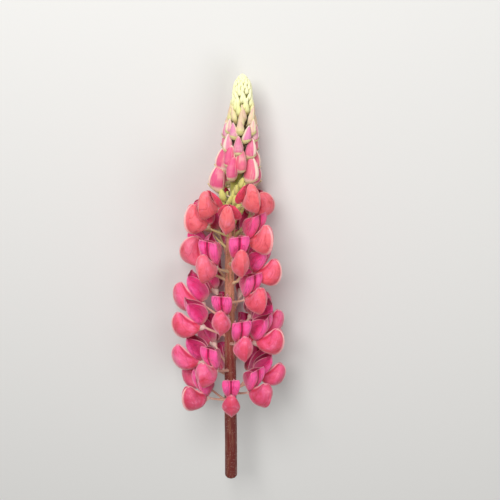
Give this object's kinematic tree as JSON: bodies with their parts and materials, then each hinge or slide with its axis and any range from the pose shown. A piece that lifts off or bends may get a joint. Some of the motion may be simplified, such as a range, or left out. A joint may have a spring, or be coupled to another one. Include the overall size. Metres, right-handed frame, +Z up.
{
  "type": "lupin flower spike",
  "caption": "Cut lupin flower spike lying on its side: a bare stem, whorls of open pea-shaped florets on slender stalks, and a tapering spire of closed buds.",
  "frame": {"origin": "middle of the base of the box that holds the lying spike, on the surface it lies on", "axes": "+Y along the stem from its cut end to the tip of the buds, +Z up from the surface"},
  "size_m": [0.0714, 0.2795, 0.0682],
  "materials": {
    "stem": "soft, finely hairy plant stem, green-brown below and yellow-green above, pale pink stalks",
    "buds": "satin buds, pink with cream edges below, pale greenish cream towards the tip",
    "petals": "satin petals, salmon-pink pouches with pale rims under magenta banners"
  },
  "bodies": {
    "root": {"stem": "stem", "bud_spire": "buds", "floret_01": "petals", "floret_02": "petals", "floret_03": "petals", "floret_04": "petals", "floret_05": "petals", "floret_06": "petals", "floret_07": "petals", "floret_08": "petals", "floret_09": "petals", "floret_10": "petals", "floret_11": "petals", "floret_12": "petals", "floret_13": "petals", "floret_14": "petals", "floret_15": "petals", "floret_16": "petals", "floret_17": "petals", "floret_18": "petals", "floret_19": "petals", "floret_20": "petals", "floret_21": "petals", "floret_22": "petals", "floret_23": "petals", "floret_24": "petals", "floret_25": "petals", "floret_26": "petals", "floret_27": "petals", "floret_28": "petals", "floret_29": "petals", "floret_30": "petals", "floret_31": "petals", "floret_32": "petals", "floret_33": "petals", "floret_34": "petals", "floret_35": "petals", "floret_36": "petals", "floret_37": "petals", "floret_38": "petals", "floret_39": "petals", "floret_40": "petals"}
  },
  "joints": []
}
